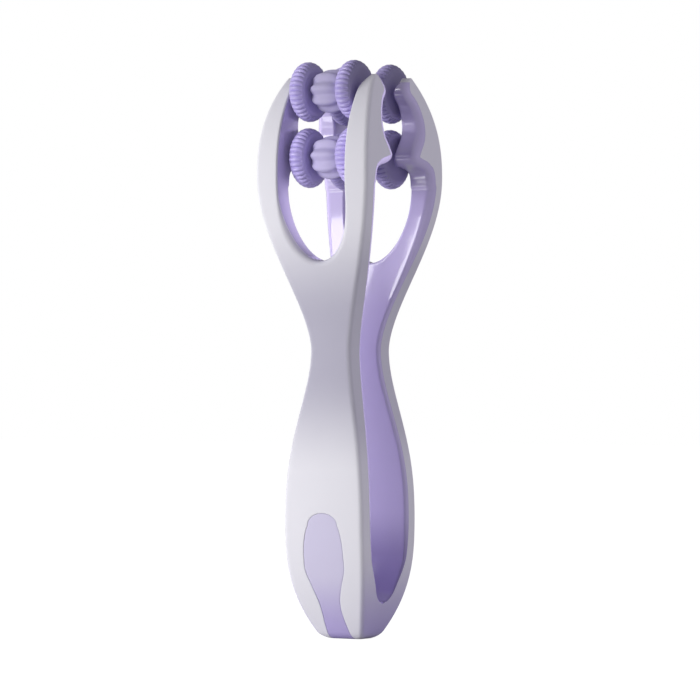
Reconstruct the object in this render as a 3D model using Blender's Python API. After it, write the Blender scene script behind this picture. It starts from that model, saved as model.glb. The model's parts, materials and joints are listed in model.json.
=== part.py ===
"""A hand-held finger massage roller, modelled piece by piece in metres, with +Z up.

Two forked arms spring from a common foot like a pair of tweezers. Each arm is a pale outer shell clipped
over a coloured core, and carries two steel axles between its prongs. On every axle turn a ribbed wheel,
a lobed ball and a second ribbed wheel. A finger goes in from above, between the front and rear rollers.

X runs along the axles, Y from the front arm to the rear arm, and the foot stands on Z = 0.
The rear arm is drawn first, and the front arm is the same arm turned half round about Z.
"""

import math

import bmesh
import bpy
from mathutils import Matrix, Vector

# Heights from the foot: the handle's belly, and the tips
BELLY_WIDTH_HEIGHT = 0.0290
BELLY_DEPTH_HEIGHT = 0.0380
TIP_HEIGHT = 0.1557

# The head hangs from the tips: upper axle, lower axle, widest place, neck, and the fork's crotch over the neck
UPPER_AXLE_DROP = 0.0042
AXLE_SPACING = 0.0183
HEAD_DROP = 0.0052
NECK_DROP = 0.0480
CROTCH_RISE = 0.0245
UPPER_AXLE_HEIGHT = TIP_HEIGHT - UPPER_AXLE_DROP
LOWER_AXLE_HEIGHT = UPPER_AXLE_HEIGHT - AXLE_SPACING
HEAD_HEIGHT = LOWER_AXLE_HEIGHT - HEAD_DROP
NECK_HEIGHT = HEAD_HEIGHT - NECK_DROP
CROTCH_HEIGHT = NECK_HEIGHT + CROTCH_RISE

# Full widths (along X) and depths (along Y) of the outline at those heights
FOOT_WIDTH = 0.0135
BELLY_WIDTH = 0.0257
NECK_WIDTH = 0.0131
HEAD_WIDTH = 0.0364
TIP_WIDTH = 0.0285
FOOT_DEPTH = 0.0090
BELLY_DEPTH = 0.0284
NECK_DEPTH = 0.0213
HEAD_DEPTH = 0.0405
TIP_DEPTH = 0.0206
FOOT_EDGE_RADIUS = 0.0020

# How each run of the outline bends: foot rounding, two leans, tip rounding
WIDTH_BEND_SHARES = (2.45, 1.45, 0.86, 2.4)
DEPTH_BEND_SHARES = (2.9, 1.2, 0.9, 2.4)

# An arm's own section
HANDLE_WALL = 0.0051
NECK_WALL = 0.0062
HEAD_WALL = 0.0059
CROWN_SHARE = 0.03
OUTER_EDGE_RADIUS = 0.0013
INNER_EDGE_RADIUS = 0.0005
TIP_ROUND_HEIGHT = 0.0042
TIP_RING_SHARES = (0.0, 0.45, 0.72, 0.9, 0.98)
TIP_PEAK_SHARE = 0.75

# Slot between the arms and fork between an arm's prongs
SLOT_BOTTOM_HEIGHT = 0.0097
SLOT_ROUND_HEIGHT = 0.0032
SLOT_BEND_HEIGHT = 0.0130
SLOT_NARROW_SHARE = 0.64
FORK_BEND_HEIGHT = 0.0190
FORK_HALF_WIDTH = 0.0110
FORK_FLARE = 0.0020
FORK_FLARE_HEIGHT = 0.0050
FORK_EDGE_RADIUS = 0.0010
LEAST_EDGE_SHARE = 0.1

# Rollers and their axles
AXLE_DEPTH = 0.0093
AXLE_RADIUS = 0.0010
AXLE_CHAMFER = 0.0002
WHEEL_OFFSET = 0.00746
WHEEL_RADIUS = 0.00835
TYRE_RADIUS = 0.00236
WHEEL_WEB = 0.0040
HUB_RADIUS = 0.0021
WEB_RIM_SHARE = 0.8
RIB_COUNT = 34
RIB_HEIGHT = 0.00036
BALL_RADIUS = 0.0060
BALL_END_RADIUS = 0.0030
LOBE_COUNT = 8
LOBE_DEPTH = 0.0012

# Round the tyre's section, in degrees from its crown, with the share of the ribs' height there
TYRE_RIB_SHARES = ((-84, 0.0), (-48, 0.9), (0, 1.0), (48, 0.9), (84, 0.0))

# Along the ball, as shares of its half length, its swell and its lobes' depth
BALL_SECTION_SHARES = (
    (-1.0, 0.0, 0.3),
    (-0.78, 0.64, 0.7),
    (-0.45, 0.94, 0.95),
    (0.0, 1.0, 1.0),
    (0.45, 0.94, 0.95),
    (0.78, 0.64, 0.7),
    (1.0, 0.0, 0.3),
)

# Bosses that carry the axles, as (height, depth) shares of this radius about the axle's centre
BOSS_RADIUS = 0.0042
LOWER_BOSS_SHARES = (
    (-1.95, 1.09),
    (-1.02, 0.93),
    (-0.72, 0.52),
    (-0.46, -0.50),
    (-0.16, -0.88),
    (0.10, -0.95),
    (0.67, -0.66),
    (1.40, -0.16),
)
UPPER_BOSS_SHARES = (
    (-2.26, -0.02),
    (-1.52, -0.16),
    (-0.83, -0.50),
    (-0.36, -0.96),
    (0.0, -1.10),
    (0.60, -1.07),
    (1.19, -0.97),
)

# Outer shell, its walls, and the thumb pad's window
FACE_WALL = 0.0012
SIDE_WALL = 0.0010
BOTTOM_WALL = 0.0014
SHELL_TOP_WALL = 0.0020
PAD_HEIGHT = 0.0347
PAD_HALF_WIDTH = 0.00643
PAD_RECESS = 0.0004
TAIL_BOTTOM = 0.0005
TAIL_DEPTH_SHARE = 0.5
PAD_OUTLINE_SHARES = (
    (0.0, 0.58),
    (0.112, 0.537),
    (0.225, 0.498),
    (0.317, 0.56),
    (0.432, 0.76),
    (0.545, 0.985),
    (0.648, 1.0),
    (0.76, 0.965),
    (0.865, 0.84),
    (0.94, 0.62),
    (0.985, 0.32),
    (1.0, 0.12),
)

# The arms bend just above the slot's bottom, where the solids are parted
FLEX_HEIGHT = 0.0140

# Clearances
GAP = 0.0003
AXLE_FIT = 0.00015
SPIN_FIT = 0.0002
OVERRUN = 0.0040

# Facets
OUTER_FACE_STEPS = 4
HIDDEN_FACE_STEPS = 2
EDGE_STEPS = 2
ARM_STEPS = 17
BASE_RING_SHARES = (0.0, 0.03, 0.08, 0.18, 0.36, 0.62, 1.0)
CROTCH_STEPS = 8
PRONG_STEPS = 6
SLOT_STEPS = 5
BORE_SIDES = 18
AXLE_SIDES = 12
FORK_FLARE_STEPS = 3
SHARP_DEGREES = 38

AXLE_HEIGHTS = {"lower": LOWER_AXLE_HEIGHT, "upper": UPPER_AXLE_HEIGHT}
WIDTH_STATIONS = (
    (0.0, FOOT_WIDTH / 2),
    (BELLY_WIDTH_HEIGHT, BELLY_WIDTH / 2),
    (NECK_HEIGHT, NECK_WIDTH / 2),
    (HEAD_HEIGHT, HEAD_WIDTH / 2),
    (TIP_HEIGHT, TIP_WIDTH / 2),
)
DEPTH_STATIONS = (
    (0.0, FOOT_DEPTH / 2),
    (BELLY_DEPTH_HEIGHT, BELLY_DEPTH / 2),
    (NECK_HEIGHT, NECK_DEPTH / 2),
    (HEAD_HEIGHT, HEAD_DEPTH / 2),
    (TIP_HEIGHT, TIP_DEPTH / 2),
)
WALL_STATIONS = (
    (BELLY_DEPTH_HEIGHT, HANDLE_WALL),
    (NECK_HEIGHT, NECK_WALL),
    (HEAD_HEIGHT, HEAD_WALL),
)


# Outline of the arms

def ease(share):
    """Smooth rise from 0 to 1 that starts and ends level."""
    return share * share * (3 - 2 * share)


def outline_size(height, stations, bend_shares):
    """Half size of the outline at a height, on smooth runs between foot, belly, neck, head and tip."""
    foot_power, waist_lean, head_lean, tip_power = bend_shares
    foot, belly, neck, head, tip = stations
    height = min(max(height, 0.0), TIP_HEIGHT)
    if height < belly[0]:
        return foot[1] + (belly[1] - foot[1]) * (1 - (1 - height / belly[0]) ** foot_power)
    if height < neck[0]:
        share = (height - belly[0]) / (neck[0] - belly[0])
        return belly[1] + (neck[1] - belly[1]) * ease(share ** waist_lean)
    if height < head[0]:
        share = (height - neck[0]) / (head[0] - neck[0])
        return neck[1] + (head[1] - neck[1]) * ease(share ** head_lean)
    share = (height - head[0]) / (tip[0] - head[0])
    return head[1] + (tip[1] - head[1]) * share ** tip_power


def foot_edge(height):
    """How far the rounded edge of the foot draws the outline in."""
    rise = min(height, FOOT_EDGE_RADIUS)
    fall = FOOT_EDGE_RADIUS - rise
    return FOOT_EDGE_RADIUS - math.sqrt(FOOT_EDGE_RADIUS ** 2 - fall ** 2)


def half_width(height):
    return outline_size(height, WIDTH_STATIONS, WIDTH_BEND_SHARES) - foot_edge(height)


def half_depth(height):
    return outline_size(height, DEPTH_STATIONS, DEPTH_BEND_SHARES) - foot_edge(height)


def wall(height):
    """Thickness of an arm from its outer face to the face that looks across the slot."""
    low, middle, high = WALL_STATIONS
    if height < middle[0]:
        share = max((height - low[0]) / (middle[0] - low[0]), 0.0)
        return low[1] + (middle[1] - low[1]) * ease(share)
    share = min((height - middle[0]) / (high[0] - middle[0]), 1.0)
    return middle[1] + (high[1] - middle[1]) * ease(share)


def curve_value(points, place):
    """Height-to-value curve through the points, smooth where it passes them."""
    last = len(points) - 1
    place = min(max(place, points[0][0]), points[last][0])
    step = max(i for i in range(last) if points[i][0] <= place)

    def slope(i):
        low = points[max(i - 1, 0)]
        high = points[min(i + 1, last)]
        return (high[1] - low[1]) / (high[0] - low[0])

    run = points[step + 1][0] - points[step][0]
    share = (place - points[step][0]) / run
    rise = points[step + 1][1] - points[step][1]
    start_bend = slope(step) * run
    end_bend = slope(step + 1) * run
    return (
        points[step][1]
        + share * start_bend
        + share ** 2 * (3 * rise - 2 * start_bend - end_bend)
        + share ** 3 * (start_bend + end_bend - 2 * rise)
    )


def boss_points():
    """Inner face of a prong over its two bosses, as (height, depth)."""
    points = []
    for height, shares in (
        (LOWER_AXLE_HEIGHT, LOWER_BOSS_SHARES),
        (UPPER_AXLE_HEIGHT, UPPER_BOSS_SHARES),
    ):
        for up_share, out_share in shares:
            points.append((height + up_share * BOSS_RADIUS, AXLE_DEPTH + out_share * BOSS_RADIUS))
    return points


BOSS_POINTS = boss_points()


def inner_depth(height):
    """Depth of the face that looks across the slot."""
    if height >= BOSS_POINTS[0][0]:
        return curve_value(BOSS_POINTS, height)
    depth = half_depth(height) - wall(height)
    rise = max(height - SLOT_BOTTOM_HEIGHT, 0.0)
    round_share = 1 - min(rise / SLOT_ROUND_HEIGHT, 1.0)
    bend_share = min(rise / SLOT_BEND_HEIGHT, 1.0)
    narrow = SLOT_NARROW_SHARE + (1 - SLOT_NARROW_SHARE) * ease(bend_share)
    return depth * narrow * math.sqrt(1 - round_share ** 2)


def face_depth(across, height):
    """Depth of the crowned outer face, at a distance across from its middle."""
    width = half_width(height)
    return half_depth(height) + CROWN_SHARE * width * (1 - (across / width) ** 2)


def fork_half_width(height):
    """Half width of the opening between an arm's prongs."""
    share = min((height - CROTCH_HEIGHT) / FORK_BEND_HEIGHT, 1.0)
    width = FORK_HALF_WIDTH * math.sqrt(max(1 - (1 - share) ** 2, 0.0))
    flare_share = max((height - (TIP_HEIGHT - FORK_FLARE_HEIGHT)) / FORK_FLARE_HEIGHT, 0.0)
    return width + FORK_FLARE * flare_share ** 2


def pad_half_width(height):
    return PAD_HALF_WIDTH * curve_value(PAD_OUTLINE_SHARES, height / PAD_HEIGHT)


# Mesh tools

def closed_mesh(name, vertices, faces):
    """Mesh of one closed skin with its faces pointing out."""
    mesh = bpy.data.meshes.new(name)
    mesh.from_pydata(vertices, [], faces)
    work = bmesh.new()
    work.from_mesh(mesh)
    bmesh.ops.recalc_face_normals(work, faces=work.faces)
    work.to_mesh(mesh)
    work.free()
    return mesh


def loft(name, rings):
    """Skin over rings of equally many points, with flat ends."""
    count = len(rings[0])
    vertices = [point for ring in rings for point in ring]
    faces = [tuple(range(count)), tuple(range(len(vertices) - count, len(vertices)))]
    for step in range(len(rings) - 1):
        for i in range(count):
            j = (i + 1) % count
            low = step * count
            high = low + count
            faces.append((low + i, low + j, high + j, high + i))
    return closed_mesh(name, vertices, faces)


def stitched(name, rings):
    """Ring-shaped skin over closed rings, each with as many points as the next or half or twice as many."""
    vertices = [point for ring in rings for point in ring]
    starts = [sum(len(ring) for ring in rings[:i]) for i in range(len(rings))]
    faces = []
    for step, ring in enumerate(rings):
        after = (step + 1) % len(rings)
        few, many = sorted((step, after), key=lambda i: len(rings[i]))
        ratio = len(rings[many]) // len(rings[few])
        for i in range(len(rings[few])):
            j = (i + 1) % len(rings[few])
            fan = [starts[many] + (i * ratio + k) % len(rings[many]) for k in range(ratio + 1)]
            if ratio == 1:
                faces.append((starts[few] + i, starts[few] + j, fan[1], fan[0]))
            else:
                faces.append((starts[few] + i, fan[0], fan[1]))
                faces.append((starts[few] + i, fan[1], starts[few] + j))
                faces.append((starts[few] + j, fan[1], fan[2]))
    return closed_mesh(name, vertices, faces)


def prism(name, outline, low, high, along):
    """Outline of (a, b) pairs carried from low to high; along is X with (y, z) pairs or Y with (x, z)."""
    rings = []
    for place in (low, high):
        if along == "X":
            rings.append([Vector((place, a, b)) for a, b in outline])
        else:
            rings.append([Vector((a, place, b)) for a, b in outline])
    return loft(name, rings)


def rod(name, radius, half_length, sides, chamfer):
    """Round bar along X with chamfered ends."""
    rings = []
    for place, size in (
        (-half_length, radius - chamfer),
        (chamfer - half_length, radius),
        (half_length - chamfer, radius),
        (half_length, radius - chamfer),
    ):
        turns = [2 * math.pi * i / sides for i in range(sides)]
        rings.append([Vector((place, size * math.cos(t), size * math.sin(t))) for t in turns])
    return loft(name, rings)


def moved(mesh, offset):
    copy = mesh.copy()
    copy.transform(Matrix.Translation(offset))
    return copy


def combined(body, tools, operation):
    """Result of joining or cutting a mesh with each tool mesh in turn."""
    collection = bpy.context.scene.collection
    work = bpy.data.objects.new("work", body)
    collection.objects.link(work)
    helpers = []
    for tool in tools:
        helper = bpy.data.objects.new("tool", tool)
        collection.objects.link(helper)
        modifier = work.modifiers.new("shape", "BOOLEAN")
        modifier.solver = "EXACT"
        modifier.operation = operation
        modifier.object = helper
        helpers.append(helper)
    bpy.context.view_layer.update()
    depsgraph = bpy.context.evaluated_depsgraph_get()
    result = bpy.data.meshes.new_from_object(work.evaluated_get(depsgraph))
    for used in [work] + helpers:
        bpy.data.objects.remove(used)
    return result


# Sections of an arm, drawn for the rear arm

def arm_heights():
    """Heights of the arm's rings: even steps up to the bosses, then the bosses' points and the tip."""
    low = FLEX_HEIGHT + GAP / 2
    high = BOSS_POINTS[0][0]
    heights = [low + (high - low) * i / ARM_STEPS for i in range(ARM_STEPS)]
    round_start = TIP_HEIGHT - TIP_ROUND_HEIGHT
    heights += [height for height, depth in BOSS_POINTS if height < round_start - GAP]
    heights += [round_start + TIP_ROUND_HEIGHT * share for share in TIP_RING_SHARES]
    return heights


def tip_share(height):
    """How much of an arm's thickness is left at a height, as its tip rounds over."""
    share = max((height - (TIP_HEIGHT - TIP_ROUND_HEIGHT)) / TIP_ROUND_HEIGHT, 0.0)
    return math.sqrt(1 - share ** 2)


def crowned_face(width, edge, height, face_inset, face_steps):
    """Outer face of a section from side to side, as (across, depth), with a rounded edge at each side."""
    inside = width - edge
    corner = []
    for i in range(EDGE_STEPS + 1):
        turn = math.pi / 2 * i / EDGE_STEPS
        across = inside + edge * math.cos(turn)
        corner.append((across, face_depth(across, height) - face_inset - edge + edge * math.sin(turn)))
    middle = []
    for i in range(1, face_steps):
        across = inside - 2 * inside * i / face_steps
        middle.append((across, face_depth(across, height) - face_inset))
    return corner + middle + [(-across, depth) for across, depth in reversed(corner)]


def arm_ring(height, side_inset, face_inset, inner_reach, face_steps):
    """Section of the arm: insets draw its outer sides in, and a reach carries its inner face further."""
    width = half_width(height) - side_inset
    outer = half_depth(height) - face_inset
    inner = inner_depth(height)
    middle = (outer + inner) / 2
    peak = inner + (outer - inner) * TIP_PEAK_SHARE
    left = tip_share(height)
    edge = max(OUTER_EDGE_RADIUS - face_inset, INNER_EDGE_RADIUS) * left
    small_edge = INNER_EDGE_RADIUS * left
    points = [(width - small_edge, inner), (width, inner + small_edge)]
    points += crowned_face(width, edge, height, face_inset, face_steps)
    points += [(-width, inner + small_edge), (small_edge - width, inner)]
    ring = []
    for across, depth in points:
        place = peak + (depth - peak) * left
        if inner_reach and depth < middle:
            place = inner - inner_reach
        ring.append(Vector((across, place, height)))
    return ring


def arm_body():
    """The whole arm as one solid, before the fork is cut."""
    rings = [arm_ring(height, 0.0, 0.0, 0.0, OUTER_FACE_STEPS) for height in arm_heights()]
    return loft("arm", rings)


def core_heights(top_drop, bottom):
    top = TIP_HEIGHT - top_drop
    heights = [height for height in arm_heights() if bottom < height < top]
    return [bottom] + heights + [top]


def core_space():
    """Room for the core inside the shell, open towards the slot and the foot."""
    rings = []
    for height in core_heights(SHELL_TOP_WALL, FLEX_HEIGHT - OVERRUN):
        rings.append(arm_ring(height, SIDE_WALL, FACE_WALL, OVERRUN, HIDDEN_FACE_STEPS))
    return loft("space", rings)


def fork_outline():
    """Opening between the prongs as (across, height), from the crotch up the right and down the left."""
    top = TIP_HEIGHT + OVERRUN
    bend_end = CROTCH_HEIGHT + FORK_BEND_HEIGHT
    flare_start = TIP_HEIGHT - FORK_FLARE_HEIGHT
    right = []
    for i in range(CROTCH_STEPS + 1):
        turn = math.pi / 2 * i / CROTCH_STEPS
        height = CROTCH_HEIGHT + FORK_BEND_HEIGHT * (1 - math.cos(turn))
        right.append((fork_half_width(height), height))
    for i in range(1, PRONG_STEPS):
        height = bend_end + (flare_start - bend_end) * i / PRONG_STEPS
        right.append((fork_half_width(height), height))
    for i in range(FORK_FLARE_STEPS + 1):
        height = flare_start + FORK_FLARE_HEIGHT * i / FORK_FLARE_STEPS
        right.append((fork_half_width(height), height))
    right.append((FORK_HALF_WIDTH + FORK_FLARE, top))
    return right + [(-across, height) for across, height in reversed(right[1:])]


def fork_edge(height):
    """Radius of the rounded edge where the fork meets the outer face, less where a prong is narrow."""
    height = min(height, TIP_HEIGHT)
    room = half_width(height) - fork_half_width(height)
    return FORK_EDGE_RADIUS * min(max(room / HEAD_WALL, LEAST_EDGE_SHARE), 1.0)


def fork_tool():
    """Cutter for the opening between the prongs, with a rounded mouth that follows the outer face."""
    outline = [Vector(point) for point in fork_outline()]
    last = len(outline) - 1
    outward = []
    for i in range(last + 1):
        along = outline[min(i + 1, last)] - outline[max(i - 1, 0)]
        outward.append(Vector((along.y, -along.x)).normalized())
    outward[0] = Vector((0.0, -1.0))
    outward[last] = Vector((-outward[1].x, outward[1].y))
    mouths = []
    for i in range(EDGE_STEPS + 1):
        turn = math.pi / 2 * i / EDGE_STEPS
        mouth = []
        for place, out in zip(outline, outward):
            edge = fork_edge(place.y)
            across, height = place + out * edge * (1 - math.cos(turn))
            drop = edge * (1 - math.sin(turn))
            mouth.append(Vector((across, face_depth(across, height) - drop, height)))
        mouths.append(mouth)
    inside = [Vector((place.x, -OVERRUN, place.y)) for place in outline]
    outside = [Vector((point.x, HEAD_DEPTH / 2 + OVERRUN, point.z)) for point in mouths[-1]]
    return loft("fork", [inside] + mouths + [outside])


def pad_outline(inset, bottom):
    """Spoon outline of the thumb pad as (across, height), drawn in by an inset."""
    heights = [bottom]
    for share, width_share in PAD_OUTLINE_SHARES:
        if share * PAD_HEIGHT > bottom + GAP:
            heights.append(share * PAD_HEIGHT)
    heights[-1] -= inset
    return [(pad_half_width(height) - inset, height) for height in heights]


def pad_tool(bottom, low, high):
    """Cutter for the pad's window, from a depth low to a depth high."""
    right = pad_outline(0.0, bottom)
    left = [(-across, height) for across, height in reversed(right)]
    return prism("window", right + left, low, high, "Y")


def pad_body():
    """The thumb pad above the bend, a shallow step below the face round it."""
    rings = []
    for across, height in pad_outline(GAP, FLEX_HEIGHT + GAP / 2):
        across = max(across, GAP)
        ring = []
        for place in (-across, 0.0, across):
            ring.append(Vector((place, face_depth(place, height) - PAD_RECESS, height)))
        for place in (across, 0.0, -across):
            ring.append(Vector((place, face_depth(place, height) - FACE_WALL, height)))
        rings.append(ring)
    return loft("pad", rings)


def axle_half_length(height):
    """An axle reaches through the core and stops at the shell's side walls."""
    low = half_width(height - AXLE_RADIUS)
    high = half_width(height + AXLE_RADIUS)
    return min(low, high) - SIDE_WALL - GAP


def arm_shell(fork):
    window = pad_tool(FLEX_HEIGHT - OVERRUN, half_depth(FLEX_HEIGHT) / 2, BELLY_DEPTH)
    return combined(arm_body(), [fork, core_space(), window], "DIFFERENCE")


def arm_core(fork):
    """Core of an arm: it fills the shell and shows in the slot and in the fork."""
    rings = []
    for height in core_heights(SHELL_TOP_WALL + GAP, FLEX_HEIGHT + GAP / 2):
        rings.append(arm_ring(height, SIDE_WALL + GAP, FACE_WALL + GAP, 0.0, HIDDEN_FACE_STEPS))
    body = loft("core", rings)
    bores = []
    for height in AXLE_HEIGHTS.values():
        bore = rod("bore", AXLE_RADIUS + AXLE_FIT, HEAD_WIDTH / 2 + OVERRUN, BORE_SIDES, AXLE_CHAMFER)
        bores.append(moved(bore, Vector((0.0, AXLE_DEPTH, height))))
    return combined(body, [fork] + bores, "DIFFERENCE")


# Base under the bend, one piece for both arms

def base_ring(height, side_inset, face_inset, face_steps):
    """Section of the base, crowned to front and rear and rounded at its four edges."""
    width = half_width(height) - side_inset
    edge = max(OUTER_EDGE_RADIUS - face_inset, INNER_EDGE_RADIUS)
    half = crowned_face(width, edge, height, face_inset, face_steps)
    rear = [Vector((across, depth, height)) for across, depth in half]
    front = [Vector((-across, -depth, height)) for across, depth in half]
    return rear + front


def base_heights(low, high):
    return [low + (high - low) * share for share in BASE_RING_SHARES]


def slot_tool():
    """Cutter for the rounded bottom of the slot between the arms."""
    top = FLEX_HEIGHT + OVERRUN
    rear = []
    for i in range(SLOT_STEPS + 1):
        turn = math.pi / 2 * i / SLOT_STEPS
        height = SLOT_BOTTOM_HEIGHT + SLOT_ROUND_HEIGHT * (1 - math.cos(turn))
        rear.append((inner_depth(height), height))
    rear.append((inner_depth(FLEX_HEIGHT), FLEX_HEIGHT))
    rear.append((inner_depth(top), top))
    front = [(-depth, height) for depth, height in reversed(rear[1:])]
    reach = BELLY_WIDTH / 2 + OVERRUN
    return prism("slot", rear + front, -reach, reach, "X")


def tail_tools():
    """Cutters for the pad's tail, which runs down the base's front and rear faces to the foot."""
    low = FOOT_DEPTH / 2 * TAIL_DEPTH_SHARE
    rear = pad_tool(-OVERRUN, low, BELLY_DEPTH)
    front = rear.copy()
    front.transform(Matrix.Rotation(math.pi, 4, "Z"))
    return [rear, front]


def tail_body():
    """The pad's tail on the base, part of the base core."""
    low = FOOT_DEPTH / 2 * TAIL_DEPTH_SHARE + GAP
    top = FLEX_HEIGHT - GAP / 2
    rings = []
    for height in base_heights(TAIL_BOTTOM, top):
        across = pad_half_width(height) - GAP
        ring = []
        for place in (-across, 0.0, across):
            ring.append(Vector((place, face_depth(place, height) - PAD_RECESS, height)))
        ring.append(Vector((across, low, height)))
        ring.append(Vector((-across, low, height)))
        rings.append(ring)
    return loft("tail", rings)


def base_shell_body(slot):
    heights = base_heights(0.0, FLEX_HEIGHT - GAP / 2)
    body = loft("base", [base_ring(height, 0.0, 0.0, OUTER_FACE_STEPS) for height in heights])
    rings = []
    for height in base_heights(BOTTOM_WALL, FLEX_HEIGHT + OVERRUN):
        rings.append(base_ring(height, SIDE_WALL, FACE_WALL, HIDDEN_FACE_STEPS))
    space = loft("room", rings)
    return combined(body, [space, slot] + tail_tools(), "DIFFERENCE")


def base_core_body(slot):
    rings = []
    for height in base_heights(BOTTOM_WALL + GAP, FLEX_HEIGHT - GAP / 2):
        rings.append(base_ring(height, SIDE_WALL + GAP, FACE_WALL + GAP, HIDDEN_FACE_STEPS))
    body = loft("block", rings)
    rear = tail_body()
    front = rear.copy()
    front.transform(Matrix.Rotation(math.pi, 4, "Z"))
    whole = combined(body, [rear, front], "UNION")
    return combined(whole, [slot], "DIFFERENCE")


# Rollers, each about its own centre with its axis along X

def turned_ring(place, radius, sides, wave_height=0.0, wave_count=0):
    """Ring about X whose radius may rise and fall evenly, a given number of times round."""
    ring = []
    for i in range(sides):
        turn = 2 * math.pi * i / sides
        size = radius + wave_height * (math.cos(wave_count * turn) - 1) / 2
        ring.append(Vector((place, size * math.cos(turn), size * math.sin(turn))))
    return ring


def wheel_mesh():
    """Wheel with a tyre-like rim whose ribs fade out down its sides, on a thin web with a hub."""
    centre = WHEEL_RADIUS - TYRE_RADIUS
    bore = AXLE_RADIUS + SPIN_FIT
    bore_sides = RIB_COUNT // 2
    hub_face = FORK_HALF_WIDTH - GAP - WHEEL_OFFSET
    smooth_sides = RIB_COUNT
    ribbed_sides = 2 * RIB_COUNT
    web_rim = centre - TYRE_RADIUS * WEB_RIM_SHARE
    rings = [
        turned_ring(-WHEEL_WEB / 2, bore, bore_sides),
        turned_ring(-WHEEL_WEB / 2, web_rim, bore_sides),
    ]
    for degrees, rib_share in TYRE_RIB_SHARES:
        turn = math.radians(degrees)
        place = TYRE_RADIUS * math.sin(turn)
        radius = centre + TYRE_RADIUS * math.cos(turn)
        sides = ribbed_sides if rib_share else smooth_sides
        rings.append(turned_ring(place, radius, sides, RIB_HEIGHT * rib_share, RIB_COUNT))
    rings.append(turned_ring(WHEEL_WEB / 2, web_rim, bore_sides))
    rings.append(turned_ring(WHEEL_WEB / 2, HUB_RADIUS, bore_sides))
    rings.append(turned_ring(hub_face, HUB_RADIUS, bore_sides))
    rings.append(turned_ring(hub_face, bore, bore_sides))
    return stitched("wheel", rings)


def ball_mesh():
    """Ball with blunt lobes round its axle, drawn in to a neck at each wheel."""
    bore = AXLE_RADIUS + SPIN_FIT
    half_length = WHEEL_OFFSET - WHEEL_WEB / 2 - GAP
    sides = 4 * LOBE_COUNT
    rings = [turned_ring(-half_length, bore, sides // 2)]
    for place_share, size_share, lobe_share in BALL_SECTION_SHARES:
        radius = BALL_END_RADIUS + (BALL_RADIUS - BALL_END_RADIUS) * size_share
        ring = turned_ring(half_length * place_share, radius, sides, LOBE_DEPTH * lobe_share, LOBE_COUNT)
        rings.append(ring)
    rings.append(turned_ring(half_length, bore, sides // 2))
    return stitched("ball", rings)


# Materials

def material(name, colour, roughness, metallic=0.0):
    made = bpy.data.materials.new(name)
    made.use_nodes = True
    shader = made.node_tree.nodes["Principled BSDF"]
    shader.inputs["Base Color"].default_value = (*colour, 1.0)
    shader.inputs["Roughness"].default_value = roughness
    shader.inputs["Metallic"].default_value = metallic
    return made


# Assembly

def add_piece(name, mesh, finish, parent, place, half_turn=False):
    """Named object for one piece, smooth shaded between sharp edges."""
    piece = bpy.data.objects.new(name, mesh.copy())
    piece.data.name = name
    piece.data.materials.clear()
    piece.data.materials.append(finish)
    piece.data.shade_smooth()
    piece.data.set_sharp_from_angle(angle=math.radians(SHARP_DEGREES))
    bpy.context.scene.collection.objects.link(piece)
    piece.parent = parent
    piece.location = place
    if half_turn:
        piece.rotation_euler = (0.0, 0.0, math.pi)
    return piece


def add_hinge(name, place, turn):
    """Empty on the line about which an arm flexes."""
    hinge = bpy.data.objects.new(name, None)
    hinge.empty_display_size = HANDLE_WALL
    hinge.location = place
    hinge.rotation_euler = (0.0, 0.0, turn)
    bpy.context.scene.collection.objects.link(hinge)
    return hinge


def add_rollers(arm, hinge, hinge_place, meshes, finishes, mirror):
    """Axles, wheels and balls of one arm; mirror is -1 where the arm is turned half round."""
    wheel, ball, axles = meshes
    wheel_finish, ball_finish, steel = finishes
    for level, height in AXLE_HEIGHTS.items():
        middle = Vector((0.0, AXLE_DEPTH, height)) - hinge_place
        add_piece(f"{arm}_{level}_axle", axles[level], steel, hinge, middle)
        add_piece(f"{arm}_{level}_ball", ball, ball_finish, hinge, middle)
        for side, sign in (("left", -1), ("right", 1)):
            local_sign = sign * mirror
            place = middle + Vector((local_sign * WHEEL_OFFSET, 0.0, 0.0))
            add_piece(f"{arm}_{level}_{side}_wheel", wheel, wheel_finish, hinge, place, local_sign < 0)


def build():
    for old in list(bpy.data.objects):
        bpy.data.objects.remove(old)

    pale = material("pale_plastic", (0.76, 0.745, 0.80), 0.38)
    purple = material("purple_plastic", (0.36, 0.29, 0.60), 0.30)
    pad_finish = material("pad_rubber", (0.48, 0.42, 0.68), 0.55)
    wheel_finish = material("wheel_plastic", (0.30, 0.24, 0.53), 0.40)
    ball_finish = material("ball_plastic", (0.44, 0.38, 0.66), 0.42)
    steel = material("axle_steel", (0.62, 0.62, 0.64), 0.25, 1.0)

    fork = fork_tool()
    slot = slot_tool()
    shell = arm_shell(fork)
    core = arm_core(fork)
    pad = pad_body()
    wheel = wheel_mesh()
    ball = ball_mesh()
    axles = {}
    for level, height in AXLE_HEIGHTS.items():
        axles[level] = rod("axle", AXLE_RADIUS, axle_half_length(height), AXLE_SIDES, AXLE_CHAMFER)

    origin = Vector((0.0, 0.0, 0.0))
    add_piece("base_shell", base_shell_body(slot), pale, None, origin)
    add_piece("base_core", base_core_body(slot), purple, None, origin)

    hinge_depth = (half_depth(FLEX_HEIGHT) + inner_depth(FLEX_HEIGHT)) / 2
    hinge_place = Vector((0.0, hinge_depth, FLEX_HEIGHT))
    for arm, sign, turn in (("rear", 1, 0.0), ("front", -1, math.pi)):
        hinge = add_hinge(f"{arm}_flex_line", Vector((0.0, sign * hinge_depth, FLEX_HEIGHT)), turn)
        add_piece(f"{arm}_arm_shell", moved(shell, -hinge_place), pale, hinge, origin)
        add_piece(f"{arm}_arm_core", moved(core, -hinge_place), purple, hinge, origin)
        add_piece(f"{arm}_thumb_pad", moved(pad, -hinge_place), pad_finish, hinge, origin)
        rollers = (wheel, ball, axles)
        finishes = (wheel_finish, ball_finish, steel)
        add_rollers(arm, hinge, hinge_place, rollers, finishes, sign)


build()
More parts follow.
